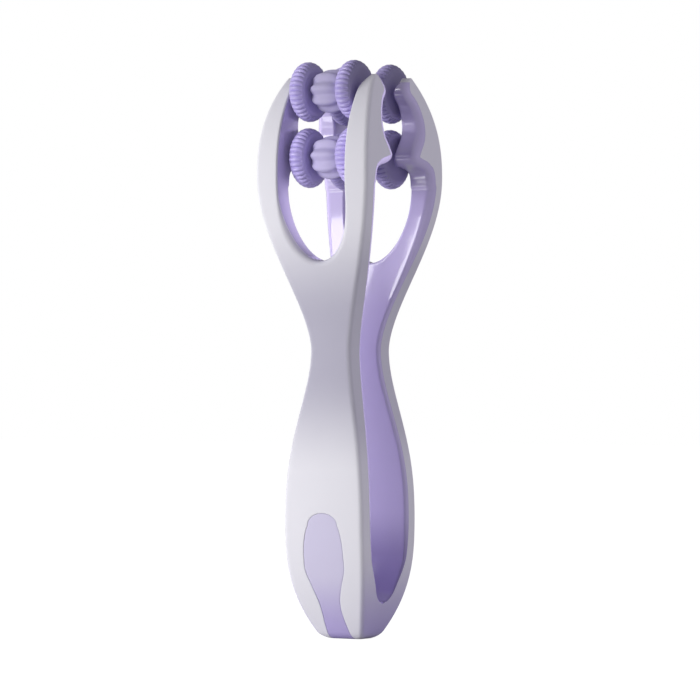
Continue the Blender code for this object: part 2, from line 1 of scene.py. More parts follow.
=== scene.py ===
"""Looks of the finger massage roller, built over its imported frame. Metres, +Z up, front arm towards -Y.

The pale skins, the purple cores and the grips are fine meshes over the same outline as the solids. Each is
drawn for the right half of the rear arm, mirrored across X = 0, and turned half round for the front arm.
"""
import json
import math

import bmesh
import bpy
import numpy as np
from mathutils import Matrix, Vector

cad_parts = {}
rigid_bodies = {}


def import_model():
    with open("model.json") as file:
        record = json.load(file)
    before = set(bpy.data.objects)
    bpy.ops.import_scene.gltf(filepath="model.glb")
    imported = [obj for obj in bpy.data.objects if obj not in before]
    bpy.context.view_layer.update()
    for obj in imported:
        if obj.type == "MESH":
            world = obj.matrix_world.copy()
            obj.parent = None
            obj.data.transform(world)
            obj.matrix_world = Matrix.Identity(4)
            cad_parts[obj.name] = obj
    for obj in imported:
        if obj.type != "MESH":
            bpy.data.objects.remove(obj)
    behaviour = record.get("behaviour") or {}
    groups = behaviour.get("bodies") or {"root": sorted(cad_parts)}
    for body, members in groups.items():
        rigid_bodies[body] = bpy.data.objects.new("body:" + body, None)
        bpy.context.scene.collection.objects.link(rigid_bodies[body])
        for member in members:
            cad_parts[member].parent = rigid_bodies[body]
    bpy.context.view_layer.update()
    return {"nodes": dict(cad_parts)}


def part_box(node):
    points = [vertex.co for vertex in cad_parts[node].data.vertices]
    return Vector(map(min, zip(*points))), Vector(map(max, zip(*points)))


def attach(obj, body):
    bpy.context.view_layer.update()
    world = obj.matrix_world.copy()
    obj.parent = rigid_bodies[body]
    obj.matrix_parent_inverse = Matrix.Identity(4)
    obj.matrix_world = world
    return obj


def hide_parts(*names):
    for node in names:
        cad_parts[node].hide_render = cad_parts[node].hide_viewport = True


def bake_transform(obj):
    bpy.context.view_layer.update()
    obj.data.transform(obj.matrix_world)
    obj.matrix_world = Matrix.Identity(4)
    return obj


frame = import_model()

MM = 0.001

# Outline of the arms: (height, half size) at foot, belly, neck, head and tip, and how each run bends
BELLY_HEIGHT = 38 * MM
NECK_HEIGHT = 80 * MM
HEAD_HEIGHT = 128 * MM
TIP_HEIGHT = 155.7 * MM
WIDTH_STATIONS = (
    (0.0, 6.75 * MM), (29 * MM, 12.85 * MM), (NECK_HEIGHT, 6.55 * MM), (HEAD_HEIGHT, 18.19 * MM),
    (TIP_HEIGHT, 14.25 * MM),
)
DEPTH_STATIONS = (
    (0.0, 4.5 * MM), (BELLY_HEIGHT, 14.2 * MM), (NECK_HEIGHT, 10.65 * MM), (HEAD_HEIGHT, 20.19 * MM),
    (TIP_HEIGHT, 10.3 * MM),
)
WALL_STATIONS = ((BELLY_HEIGHT, 5.1 * MM), (NECK_HEIGHT, 6.2 * MM), (HEAD_HEIGHT, 5.9 * MM))
WIDTH_BEND_SHARES = (2.45, 1.45, 0.86, 2.4)
DEPTH_BEND_SHARES = (2.9, 1.2, 0.9, 2.4)
CROWN_SHARE = 0.03
FOOT_EDGE_RADIUS = 2.0 * MM

# Slot between the arms, fork between the prongs, and the grip in its window
SLOT_BOTTOM = 10.3 * MM
SLOT_ROUND = 3.2 * MM
SLOT_BEND = 13 * MM
SLOT_NARROW_SHARE = 0.64
CROTCH = 104.5 * MM
FORK_BEND = 19 * MM
FORK_HALF_WIDTH = 11 * MM
FORK_FLARE = 2 * MM
FORK_FLARE_HEIGHT = 5 * MM
GRIP_TOP = 35.1 * MM
GRIP_HALF_WIDTH = 6.43 * MM
GRIP_ROUND = 3.4 * MM
GRIP_OUTLINE_SHARES = (
    (0.0, 0.58), (0.112, 0.537), (0.225, 0.498), (0.317, 0.56), (0.432, 0.76), (0.545, 0.985),
    (0.648, 1.0), (0.76, 0.965), (0.865, 0.84), (0.902, 0.75),
)
GRIP_GAP = 0.03 * MM
GRIP_RECESS = 0.06 * MM

# Bosses that carry the axles, as (height, depth) shares of their radius about the axle
BOSS_RADIUS = 4.2 * MM
LOWER_BOSS_SHARES = (
    (-1.95, 1.09), (-1.02, 0.93), (-0.72, 0.52), (-0.46, -0.50), (-0.16, -0.88), (0.10, -0.95), (0.67, -0.66),
    (1.40, -0.16),
)
UPPER_BOSS_SHARES = (
    (-2.26, -0.02), (-1.52, -0.16), (-0.83, -0.50), (-0.36, -0.96), (0.0, -1.10), (0.60, -1.07),
    (1.19, -0.97),
)

# Rounded edges, the skin's lip at a cut edge, and the fine parting line between skin and core. A run is the
# pair of heights between which an edge changes from one radius to the next.
OUTER_EDGE = 1.3 * MM
LEAST_TIP_EDGE_SHARE = 0.25
SLOT_END_EDGE = 0.35 * MM
HANDLE_SLOT_EDGE = 1.1 * MM
PRONG_SLOT_EDGE = 2.2 * MM
SLOT_END_RUN = (10 * MM, 34 * MM)
SLOT_EDGE_RUN = (92 * MM, 122 * MM)
WINDOW_EDGE = 0.2 * MM
FORK_EDGE = 1.9 * MM
PRONG_FORK_EDGE = 0.5 * MM
FORK_EDGE_RUN = (108 * MM, 124 * MM)
FORK_EDGE_SHARE = 0.4
CORE_EDGE = 0.6 * MM
LIP = 0.5 * MM
LIP_DEPTH = 0.15 * MM
PARTING = 0.04 * MM
CAP_HEIGHT = 1.3 * MM
TIP_ROUND = 4.2 * MM
TIP_PEAK_SHARE = 0.75

# Wheels: turns round the tyre's section are in degrees from its tread
WHEEL_RADIUS = 8.31 * MM
TYRE_RADIUS = 2.36 * MM
WHEEL_WEB = 4.5 * MM
HUB_RADIUS = 2.1 * MM
HUB_REACH = 3.2 * MM
HUB_FOOT = 0.3 * MM
HUB_FOOT_REACH = 0.1 * MM
HUB_CHAMFER = 0.15 * MM
BORE_RADIUS = 1.2 * MM
RIB_COUNT = 34
RIB_HEIGHT = 0.55 * MM
RIB_SPREAD = 56
RIB_FADE = 20
RIB_BLUNTNESS = 0.7
RIB_SIDES = 8
TYRE_STEP = 7.0

# Balls: ridges run from end to end over the lobes, valleys between them
BALL_RADIUS = 6.0 * MM
BALL_END_RADIUS = 3.1 * MM
BALL_HALF_LENGTH = 4.98 * MM
BALL_SECTIONS = 32
RIDGE_BULGE = 2.6
RIDGE_ROUNDNESS = 0.66
VALLEY_RADIUS = 5.1 * MM
VALLEY_END_RADIUS = 2.0 * MM
LOBE_COUNT = 8
LOBE_SIDES = 20
LOBE_TURN = math.radians(174)

# Rows and columns of the arm's meshes
ROW_STEP = 1.0 * MM
FOOT_ROWS = 6
EDGE_ROWS = 8
WINDOW_EDGE_ROWS = 4
SLOT_END_ROWS = 12
GRIP_TOP_ROWS = 14
CROTCH_ROWS = 28
TIP_ROWS = 10
FACE_COLUMNS = 12
FILLET_STEPS = 6
SLOT_EDGE_STEPS = 8
SIDE_COLUMNS = 5
INNER_COLUMNS = 8
WALL_COLUMNS = 3
GRIP_COLUMNS = 8
LIP_COLUMNS = 2
# Distances from a cut edge at which the points of a rounded edge stand, as shares of its radius
EDGE_POINT_SHARES = (0.0, 0.06, 0.2, 0.45, 0.75, 1.0)
# Where the slot's rounded edge begins is searched by halving, up to this many radii from the slot
SEARCH_STEPS = 24
SEARCH_REACH = 3
WELD_DISTANCE = 0.002 * MM
LEAST_SQUARED_LENGTH = 1e-18
ARM_CREASE = math.radians(42)
ROLLER_CREASE = math.radians(50)

# Camera, in degrees, and the photo's scale and the pixels where the foot and the axis stand in it
VIEW_AZIMUTH = 32.5
VIEW_ELEVATION = -0.5
LENS = 200.0
SENSOR = 36.0
IMAGE_PIXELS = 700
MM_PER_PIXEL = 0.278
FOOT_PIXEL = 638
AXIS_PIXEL = 350.2


# Outline of the arms

def ease(share):
    """Share from 0 to 1 that starts and ends level."""
    return share * share * (3 - 2 * share)


def eased_size(low, high, height, bend=1.0):
    """Size on a smooth run between two (height, size) stations."""
    share = (height - low[0]) / (high[0] - low[0])
    return low[1] + (high[1] - low[1]) * ease(share ** bend)


def outline_size(height, stations, bends):
    """Half size of the outline at a height."""
    foot, belly, neck, head, tip = stations
    if height < belly[0]:
        return foot[1] + (belly[1] - foot[1]) * (1 - (1 - height / belly[0]) ** bends[0])
    if height < neck[0]:
        return eased_size(belly, neck, height, bends[1])
    if height < head[0]:
        return eased_size(neck, head, height, bends[2])
    share = min((height - head[0]) / (tip[0] - head[0]), 1.0)
    return head[1] + (tip[1] - head[1]) * share ** bends[3]


def edge_drop(distance, radius):
    """How far a rounded edge has fallen away at a distance from it."""
    left = radius - min(max(distance, 0.0), radius)
    return radius - math.sqrt(radius ** 2 - left ** 2)


def foot_edge(height):
    """How far the foot's rounded edge draws the outline in."""
    return edge_drop(height, FOOT_EDGE_RADIUS)


def half_width(height):
    """Half width of an arm at a height, across X."""
    return outline_size(height, WIDTH_STATIONS, WIDTH_BEND_SHARES) - foot_edge(height)


def face_depth(across, height):
    """Depth of the crowned outer face."""
    width = half_width(height)
    depth = outline_size(height, DEPTH_STATIONS, DEPTH_BEND_SHARES) - foot_edge(height)
    return depth + CROWN_SHARE * width * (1 - (across / width) ** 2)


def wall(height):
    """Thickness of an arm, from its outer face to the slot."""
    low, middle, high = WALL_STATIONS
    height = min(max(height, low[0]), high[0])
    if height < middle[0]:
        return eased_size(low, middle, height)
    return eased_size(middle, high, height)


def curve_value(points, place):
    """Smooth curve through (place, value) points."""
    last = len(points) - 1
    place = min(max(place, points[0][0]), points[last][0])
    step = max(i for i in range(last) if points[i][0] <= place)

    def slope(i):
        low, high = points[max(i - 1, 0)], points[min(i + 1, last)]
        return (high[1] - low[1]) / (high[0] - low[0])

    run = points[step + 1][0] - points[step][0]
    share = (place - points[step][0]) / run
    rise = points[step + 1][1] - points[step][1]
    start, end = slope(step) * run, slope(step + 1) * run
    return (points[step][1] + share * start + share ** 2 * (3 * rise - 2 * start - end)
            + share ** 3 * (start + end - 2 * rise))


def middle_of(node_name):
    """Middle of a CAD node's box at rest."""
    low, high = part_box(node_name)
    return (low + high) / 2


LOWER_AXLE = middle_of("rear_lower_axle")
UPPER_AXLE = middle_of("rear_upper_axle")
BOSS_POINTS = [
    (axle.z + up * BOSS_RADIUS, axle.y + out * BOSS_RADIUS)
    for axle, shares in ((LOWER_AXLE, LOWER_BOSS_SHARES), (UPPER_AXLE, UPPER_BOSS_SHARES))
    for up, out in shares
]


def inner_depth(height):
    """Depth of the face that looks across the slot, zero under the slot."""
    if height >= BOSS_POINTS[0][0]:
        return curve_value(BOSS_POINTS, height)
    rise = max(height - SLOT_BOTTOM, 0.0)
    left = 1 - min(rise / SLOT_ROUND, 1.0)
    narrow = SLOT_NARROW_SHARE + (1 - SLOT_NARROW_SHARE) * ease(min(rise / SLOT_BEND, 1.0))
    depth = outline_size(height, DEPTH_STATIONS, DEPTH_BEND_SHARES) - wall(height)
    return depth * narrow * math.sqrt(1 - left ** 2)


def fork_half_width(height):
    """Half width between the prongs, from the round crotch to the flared mouth."""
    share = min((height - CROTCH) / FORK_BEND, 1.0)
    flare = max((height - (TIP_HEIGHT - FORK_FLARE_HEIGHT)) / FORK_FLARE_HEIGHT, 0.0)
    return FORK_HALF_WIDTH * math.sqrt(max(1 - (1 - share) ** 2, 0.0)) + FORK_FLARE * flare ** 2


def grip_half_width(height, inset=0.0):
    """Half width of the grip's window, closed by a round top."""
    top = GRIP_TOP - inset
    low = top - GRIP_ROUND
    width = GRIP_HALF_WIDTH * curve_value(GRIP_OUTLINE_SHARES, min(height, low) / GRIP_TOP) - inset
    share = max((height - low) / GRIP_ROUND, 0.0)
    return width * math.sqrt(max(1 - share ** 2, 0.0))


def opening_half_width(height):
    """Half width of what is cut from the outer face at a height: the window, nothing, or the fork."""
    if height <= GRIP_TOP:
        return grip_half_width(height)
    return fork_half_width(height) if height >= CROTCH else 0.0


def cosine_steps(low, high, count, dense_low=True):
    """Places from low to high, set closer at one end."""
    turns = [math.pi / 2 * i / count for i in range(count + 1)]
    shares = [1 - math.cos(t) if dense_low else math.sin(t) for t in turns]
    return [low + (high - low) * share for share in shares]


def even_steps(low, high, step):
    """Places from low to high, about a step apart."""
    count = max(1, round((high - low) / step))
    return [low + (high - low) * i / count for i in range(count + 1)]


# Heights of the mesh rows, closer where an edge is round
HEIGHTS = sorted(set(
    cosine_steps(0.0, FOOT_EDGE_RADIUS, FOOT_ROWS)
    + even_steps(FOOT_EDGE_RADIUS, SLOT_BOTTOM - HANDLE_SLOT_EDGE, ROW_STEP)
    + even_steps(SLOT_BOTTOM - HANDLE_SLOT_EDGE, SLOT_BOTTOM, HANDLE_SLOT_EDGE / EDGE_ROWS)
    + cosine_steps(SLOT_BOTTOM, SLOT_BOTTOM + SLOT_ROUND, SLOT_END_ROWS)
    + even_steps(SLOT_BOTTOM + SLOT_ROUND, GRIP_TOP - GRIP_ROUND, ROW_STEP)
    + cosine_steps(GRIP_TOP - GRIP_ROUND, GRIP_TOP, GRIP_TOP_ROWS, dense_low=False)
    + even_steps(GRIP_TOP, GRIP_TOP + WINDOW_EDGE, WINDOW_EDGE / WINDOW_EDGE_ROWS)
    + even_steps(GRIP_TOP + WINDOW_EDGE, CROTCH - FORK_EDGE, ROW_STEP)
    + even_steps(CROTCH - FORK_EDGE, CROTCH - CORE_EDGE, FORK_EDGE / EDGE_ROWS)
    + even_steps(CROTCH - CORE_EDGE, CROTCH, CORE_EDGE / EDGE_ROWS)
    + cosine_steps(CROTCH, CROTCH + FORK_BEND, CROTCH_ROWS)
    + even_steps(CROTCH + FORK_BEND, TIP_HEIGHT - TIP_ROUND, ROW_STEP / 2)
    + [TIP_HEIGHT - CAP_HEIGHT]
    + cosine_steps(TIP_HEIGHT - TIP_ROUND, TIP_HEIGHT, TIP_ROWS, dense_low=False)
))


def outline_points(width_at, heights, both_sides=False):
    """Outline of an opening as (half width, height) points, from left to right with both_sides."""
    points = [(width_at(h), h) for h in heights]
    if both_sides:
        points = [(-width, h) for width, h in reversed(points)] + points
    return np.array(points)


WINDOW_OUTLINE = outline_points(grip_half_width, [h for h in HEIGHTS if h <= GRIP_TOP])
FORK_OUTLINE = outline_points(fork_half_width, [h for h in HEIGHTS if h >= CROTCH])
SLOT_OUTLINE = outline_points(inner_depth, [h for h in HEIGHTS if h >= SLOT_BOTTOM], both_sides=True)
GRIP_HEIGHTS = [h for h in HEIGHTS if h < GRIP_TOP - GRIP_GAP]
GRIP_OUTLINE = outline_points(lambda height: grip_half_width(height, GRIP_GAP), GRIP_HEIGHTS)


def distance_to(outline, place, height):
    """Shortest distance from (place, height) to an outline's segments."""
    start, end = outline[:-1], outline[1:]
    along = end - start
    squared_length = np.maximum((along ** 2).sum(1), LEAST_SQUARED_LENGTH)
    offset = np.array((place, height)) - start
    share = np.clip((offset * along).sum(1) / squared_length, 0, 1)[:, None]
    return float(np.sqrt(((offset - along * share) ** 2).sum(1)).min())


def opening_distance(across, height):
    """How far a point of the arm lies from the edge of the nearer opening."""
    outline = WINDOW_OUTLINE if height < (GRIP_TOP + CROTCH) / 2 else FORK_OUTLINE
    return distance_to(outline, across, height)


def tip_left(height):
    """Share of an arm's thickness that its rounded tip leaves at a height."""
    share = max((height - (TIP_HEIGHT - TIP_ROUND)) / TIP_ROUND, 0.0)
    return math.sqrt(max(1 - share ** 2, 0.0))


def rounded_tip(height, depth):
    """Depth drawn towards the middle of the wall as the tip rounds over."""
    left = tip_left(height)
    inner = inner_depth(height)
    peak = inner + (face_depth(half_width(height), height) - inner) * TIP_PEAK_SHARE
    return peak + (depth - peak) * left


def run_share(height, run):
    """How far a height is along a run of heights, from 0 under it to 1 above it."""
    low, high = run
    return min(max((height - low) / (high - low), 0.0), 1.0)


def slot_edge(height):
    """Radius of the slot's rounded edge: least at the slot's bottom, broad on the prongs."""
    below = ease(run_share(height, SLOT_END_RUN))
    above = ease(run_share(height, SLOT_EDGE_RUN))
    handle = SLOT_END_EDGE + (HANDLE_SLOT_EDGE - SLOT_END_EDGE) * below
    return handle + (PRONG_SLOT_EDGE - HANDLE_SLOT_EDGE) * above


def opening_edge(height):
    """Radius of the skin's edge round the opening: broad at the crotch, small up the prongs."""
    if height < (GRIP_TOP + CROTCH) / 2:
        return WINDOW_EDGE
    room = half_width(height) - fork_half_width(height)
    edge = FORK_EDGE + (PRONG_FORK_EDGE - FORK_EDGE) * ease(run_share(height, FORK_EDGE_RUN))
    return min(edge, FORK_EDGE_SHARE * room)


def slot_edge_depth(height):
    """Depth on the side face at which the rounded edge of the slot begins, zero under it."""
    edge = slot_edge(height)
    if height <= SLOT_BOTTOM - edge:
        return 0.0
    low = inner_depth(height)
    high = low + SEARCH_REACH * edge
    for _ in range(SEARCH_STEPS):
        middle = (low + high) / 2
        if distance_to(SLOT_OUTLINE, middle, height) < edge:
            low = middle
        else:
            high = middle
    return low


def skin_path(height):
    """Right half of the pale skin's section, as (across, depth): lip, face, rounded edge, side and lip."""
    width = half_width(height)
    opening = opening_half_width(height)
    edge = OUTER_EDGE * max(tip_left(height), LEAST_TIP_EDGE_SHARE)
    cut_edge = opening_edge(height)
    starts = [opening + share * cut_edge for share in EDGE_POINT_SHARES]
    flat = even_steps(starts[-1], width - edge, (width - edge - starts[-1]) / FACE_COLUMNS)
    face = []
    for across in starts + flat[1:]:
        drop = edge_drop(opening_distance(across, height), cut_edge)
        face.append((across, face_depth(across, height) - drop))
    lip_depth = face[0][1] - LIP_DEPTH
    centre = face_depth(width - edge, height) - edge
    fillet = []
    for i in range(1, FILLET_STEPS + 1):
        turn = math.pi / 2 * (1 - i / FILLET_STEPS)
        fillet.append((width - edge + edge * math.cos(turn), centre + edge * math.sin(turn)))
    stop = slot_edge_depth(height)
    side = [(width, centre + (stop - centre) * i / SIDE_COLUMNS) for i in range(1, SIDE_COLUMNS + 1)]
    path = [(opening + LIP, lip_depth), (opening, lip_depth)] + face + fillet + side + [(width - LIP, stop)]
    return [(x, rounded_tip(height, y)) for x, y in path]


def core_path(height):
    """Right half of the core's section: lip, slot edge, face in the slot, fork wall and lip."""
    width = half_width(height)
    opening = fork_half_width(height) if height >= CROTCH else 0.0
    inner = inner_depth(height)
    start = slot_edge_depth(height)
    path = [(width - LIP, start - PARTING)]
    for i in range(SLOT_EDGE_STEPS + 1):
        share = 1 - math.sin(math.pi / 2 * i / SLOT_EDGE_STEPS)
        depth = inner + (start - PARTING - inner) * share
        path.append((width - edge_drop(distance_to(SLOT_OUTLINE, depth, height), slot_edge(height)), depth))
    rim = width - slot_edge(height)
    stops = [opening + share * CORE_EDGE for share in reversed(EDGE_POINT_SHARES)]
    for i in range(1, INNER_COLUMNS):
        path.append((rim + (stops[0] - rim) * i / INNER_COLUMNS, inner))
    for across in stops:
        path.append((across, inner + edge_drop(distance_to(FORK_OUTLINE, across, height), CORE_EDGE)))
    low = path[-1][1]
    top = face_depth(opening, height) - opening_edge(height) - LIP_DEPTH - PARTING
    for i in range(1, WALL_COLUMNS + 1):
        path.append((opening, low + (top - low) * i / WALL_COLUMNS))
    path.append((opening + LIP, top))
    return [(x, rounded_tip(height, y)) for x, y in path]


def strip_mesh(name, rows, skipped, closed_under=False):
    """Quads between rows of equally many points; skipped(i, j) leaves one out. Mirrored across X = 0.

    With closed_under, the lowest row is closed towards the middle by a flat floor."""
    work = bmesh.new()
    grid = [[work.verts.new(point) for point in row] for row in rows]
    for i in range(len(grid) - 1):
        for j in range(len(grid[0]) - 1):
            if not skipped(i, j):
                work.faces.new((grid[i][j], grid[i][j + 1], grid[i + 1][j + 1], grid[i + 1][j]))
    if closed_under:
        middle = [work.verts.new((0.0, vert.co.y, vert.co.z)) for vert in grid[0]]
        for j in range(len(middle) - 1):
            work.faces.new((grid[0][j], grid[0][j + 1], middle[j + 1], middle[j]))
    return finished_mesh(name, work)


def finished_mesh(name, work):
    """Mirrors, welds and closes up a half mesh, with its faces pointing out."""
    made = work.verts[:] + work.edges[:] + work.faces[:]
    copy = bmesh.ops.duplicate(work, geom=made)
    copied = [item for item in copy["geom"] if isinstance(item, bmesh.types.BMVert)]
    bmesh.ops.scale(work, vec=(-1, 1, 1), verts=copied)
    bmesh.ops.reverse_faces(work, faces=[f for f in copy["geom"] if isinstance(f, bmesh.types.BMFace)])
    bmesh.ops.remove_doubles(work, verts=work.verts, dist=WELD_DISTANCE)
    bmesh.ops.recalc_face_normals(work, faces=work.faces)
    mesh = bpy.data.meshes.new(name)
    work.to_mesh(mesh)
    work.free()
    mesh.shade_smooth()
    mesh.set_sharp_from_angle(angle=ARM_CREASE)
    return mesh


def turned(mesh, name):
    """Copy for the front arm: the same shape turned half round about Z."""
    copy = mesh.copy()
    copy.name = name
    copy.transform(Matrix.Rotation(math.pi, 4, "Z"))
    return copy


def shown(name, mesh, finish):
    """New piece in the scene, all in one material."""
    mesh.materials.clear()
    mesh.materials.append(finish)
    piece = bpy.data.objects.new(name, mesh)
    bpy.context.scene.collection.objects.link(piece)
    return piece


def skin_mesh():
    """Pale skin of a whole arm, down to half of the foot."""
    rows = [[(x, y, h) for x, y in skin_path(h)] for h in HEIGHTS]
    last = len(rows[0]) - 2

    def skipped(i, j):
        height = HEIGHTS[i]
        in_opening = height >= CROTCH or HEIGHTS[i + 1] <= GRIP_TOP
        return (j < LIP_COLUMNS and not in_opening) or (j == last and height < SLOT_BOTTOM - HANDLE_SLOT_EDGE)

    return strip_mesh("skin", rows, skipped, True)


def core_mesh():
    """Purple lining of the slot and the fork."""
    heights = [h for h in HEIGHTS if SLOT_BOTTOM - HANDLE_SLOT_EDGE <= h <= TIP_HEIGHT - CAP_HEIGHT]
    rows = [[(x, y, h) for x, y in core_path(h)] for h in heights]
    wall_start = len(rows[0]) - 2 - WALL_COLUMNS
    face_start = SLOT_EDGE_STEPS + 1

    def skipped(i, j):
        return (j >= wall_start and heights[i] < CROTCH) or (j >= face_start and heights[i] < SLOT_BOTTOM)

    return strip_mesh("core", rows, skipped)


def cap_mesh():
    """Pale end of a prong above the core, closed at its rounded tip."""
    heights = [h for h in HEIGHTS if h >= TIP_HEIGHT - CAP_HEIGHT]
    rows = [[(x, y, h) for x, y in core_path(h)[1:-1]] for h in heights]
    return strip_mesh("cap", rows, lambda i, j: False)


def grip_path(height):
    """Right half of the grip's section, from its middle to its rounded edge and down its side."""
    half = grip_half_width(height, GRIP_GAP)
    stops = [half - share * WINDOW_EDGE for share in reversed(EDGE_POINT_SHARES)]
    path = []
    flat = [stops[0] * i / GRIP_COLUMNS for i in range(GRIP_COLUMNS)]
    for across in flat + stops:
        across = max(across, 0.0)
        drop = edge_drop(distance_to(GRIP_OUTLINE, across, height), WINDOW_EDGE)
        path.append((across, face_depth(across, height) - GRIP_RECESS - drop))
    last = path[-1]
    path.append((last[0], last[1] - LIP))
    return path


def grip_mesh():
    """Spoon-shaped grip, a little under the skin's face."""
    rows = [[(x, y, h) for x, y in grip_path(h)] for h in GRIP_HEIGHTS + [GRIP_TOP - GRIP_GAP]]
    return strip_mesh("grip", rows, lambda i, j: False)


# Materials

# Sockets of a Mix node's two colours, and of its colour result
MIX_DEEP, MIX_PALE, MIX_RESULT = 6, 7, 2
CLOUD_SCALE = 90.0
CLOUD_DETAIL = 3.0
CLOUD_SHARE = 0.08
GRAIN_DETAIL = 4.0
GRAIN_STRENGTH = 0.12
GRAIN_DEPTH = 0.02 * MM
ROUGHNESS_SPREAD = 0.05


def node(tree, kind, **values):
    """New node; a value goes to the input of its name, or else to the node's own setting."""
    made = tree.nodes.new(kind)
    for key, value in values.items():
        if key in made.inputs:
            made.inputs[key].default_value = value
        else:
            setattr(made, key, value)
    return made


def math_node(tree, operation, first, second=None):
    """Math node on one or two inputs, each a number or another node's output."""
    made = node(tree, "ShaderNodeMath", operation=operation)
    for socket, value in zip(made.inputs, (first, second)):
        if isinstance(value, bpy.types.NodeSocket):
            tree.links.new(value, socket)
        elif value is not None:
            socket.default_value = value
    return made.outputs["Value"]


def height_share(tree, distance, near, far):
    """Smooth share of a distance, from 0 at near to 1 at far."""
    made = node(tree, "ShaderNodeMapRange", interpolation_type="SMOOTHSTEP")
    made.inputs["From Min"].default_value = near
    made.inputs["From Max"].default_value = far
    tree.links.new(distance, made.inputs["Value"])
    return made.outputs["Result"]


def object_height(tree, place):
    """Height above the foot, from an arm's own coordinates."""
    split = node(tree, "ShaderNodeSeparateXYZ")
    tree.links.new(place.outputs["Object"], split.inputs["Vector"])
    return split.outputs["Z"]


def ramp_share(tree, place, height, near, far):
    """Share of the distance from a height, from 0 at near to 1 at far."""
    above = math_node(tree, "SUBTRACT", object_height(tree, place), height)
    return height_share(tree, math_node(tree, "ABSOLUTE", above), near, far)


def noise(tree, place, scale, detail):
    """Noise in an object's own coordinates."""
    made = node(tree, "ShaderNodeTexNoise", Scale=scale, Detail=detail)
    tree.links.new(place.outputs["Object"], made.inputs["Vector"])
    return made.outputs["Fac"]


def add_grain(tree, shader, grain, roughness):
    """Fine bumps, and a roughness that varies with them."""
    rough = node(tree, "ShaderNodeMapRange")
    rough.inputs["To Min"].default_value = roughness - ROUGHNESS_SPREAD
    rough.inputs["To Max"].default_value = roughness + ROUGHNESS_SPREAD
    tree.links.new(grain, rough.inputs["Value"])
    tree.links.new(rough.outputs["Result"], shader.inputs["Roughness"])
    bump = node(tree, "ShaderNodeBump", Strength=GRAIN_STRENGTH, Distance=GRAIN_DEPTH)
    tree.links.new(grain, bump.inputs["Height"])
    tree.links.new(bump.outputs["Normal"], shader.inputs["Normal"])


def moulded(name, deep, pale, roughness, grain_size, shade_ramp=None):
    """Moulded plastic, slightly clouded and finely grained.

    With shade_ramp, (height, near, far), painted shade makes the colour deep near that height and pale far
    from it."""
    made = bpy.data.materials.new(name)
    made.use_nodes = True
    tree = made.node_tree
    shader = tree.nodes["Principled BSDF"]
    place = node(tree, "ShaderNodeTexCoord")
    share = noise(tree, place, CLOUD_SCALE, CLOUD_DETAIL)
    # Painted shade: the colour turns deep near the given height and pale far from it
    if shade_ramp:
        clouded = math_node(tree, "MULTIPLY", share, CLOUD_SHARE)
        share = math_node(tree, "ADD", clouded, ramp_share(tree, place, *shade_ramp))
    mix = node(tree, "ShaderNodeMix", data_type="RGBA")
    mix.inputs[MIX_DEEP].default_value = (*deep, 1)
    mix.inputs[MIX_PALE].default_value = (*pale, 1)
    tree.links.new(share, mix.inputs["Factor"])
    tree.links.new(mix.outputs[MIX_RESULT], shader.inputs["Base Color"])
    add_grain(tree, shader, noise(tree, place, 1 / grain_size, GRAIN_DETAIL), roughness)
    return made


def painted_side_shades(finish, foot_shade_colour, foot_shade_top, pale_share):
    """Keeps the neck's painted shade off the sides, and paints lavender shade on the sides towards the foot,
    from foot_shade_top down.
    """
    tree = finish.node_tree
    shader = tree.nodes["Principled BSDF"]
    colour = shader.inputs["Base Color"].links[0].from_socket
    factor = colour.node.inputs["Factor"]
    # The neck's painted shade is kept off faces that look sideways
    facing = node(tree, "ShaderNodeNewGeometry")
    normal = node(tree, "ShaderNodeSeparateXYZ")
    tree.links.new(facing.outputs["True Normal"], normal.inputs["Vector"])
    sideways = math_node(tree, "ABSOLUTE", normal.outputs["X"])
    least_pale = math_node(tree, "MULTIPLY", sideways, pale_share)
    tree.links.new(math_node(tree, "MAXIMUM", least_pale, factor.links[0].from_socket), factor)
    # Painted shade: faces that look sideways turn lavender towards the foot
    low = height_share(tree, object_height(tree, node(tree, "ShaderNodeTexCoord")), foot_shade_top, 0.0)
    mix = node(tree, "ShaderNodeMix", data_type="RGBA")
    tree.links.new(math_node(tree, "MULTIPLY", low, sideways), mix.inputs["Factor"])
    tree.links.new(colour, mix.inputs[MIX_DEEP])
    mix.inputs[MIX_PALE].default_value = (*foot_shade_colour, 1)
    tree.links.new(mix.outputs[MIX_RESULT], shader.inputs["Base Color"])


def glossy_coat(finish, weight, index, roughness):
    """Clear gloss over a plastic, as on a polished moulding."""
    shader = finish.node_tree.nodes["Principled BSDF"]
    shader.inputs["Coat Weight"].default_value = weight
    shader.inputs["Coat Roughness"].default_value = roughness
    shader.inputs["Coat IOR"].default_value = index


def pale_plastic():
    """Shell: pale, with painted shade that greys it round the neck, and painted lavender shade on its sides
    towards the foot.
    """
    # Painted shade round the neck: deep at its middle height, pale far from it
    neck = (81 * MM, 6 * MM, 38 * MM)
    made = moulded(
        "pale_plastic", deep=(0.445, 0.43, 0.52), pale=(0.775, 0.765, 0.81), roughness=0.5,
        grain_size=0.25 * MM, shade_ramp=neck,
    )
    # Painted shade: keeps the sides clear of the neck's shade and shades them lavender towards the foot
    painted_side_shades(made, foot_shade_colour=(0.47, 0.41, 0.69), foot_shade_top=26 * MM, pale_share=0.6)
    return made


def core_plastic():
    """Core: polished purple, with painted shade that deepens it at the bottom of the slot."""
    # Painted shade: the core's colour deepens towards the bottom of the slot
    slot_end_shade = (12 * MM, 4 * MM, 26 * MM)
    made = moulded(
        "core_plastic", deep=(0.20, 0.155, 0.38), pale=(0.52, 0.455, 0.71), roughness=0.3,
        grain_size=0.25 * MM, shade_ramp=slot_end_shade,
    )
    glossy_coat(made, weight=1.0, index=1.9, roughness=0.09)
    return made


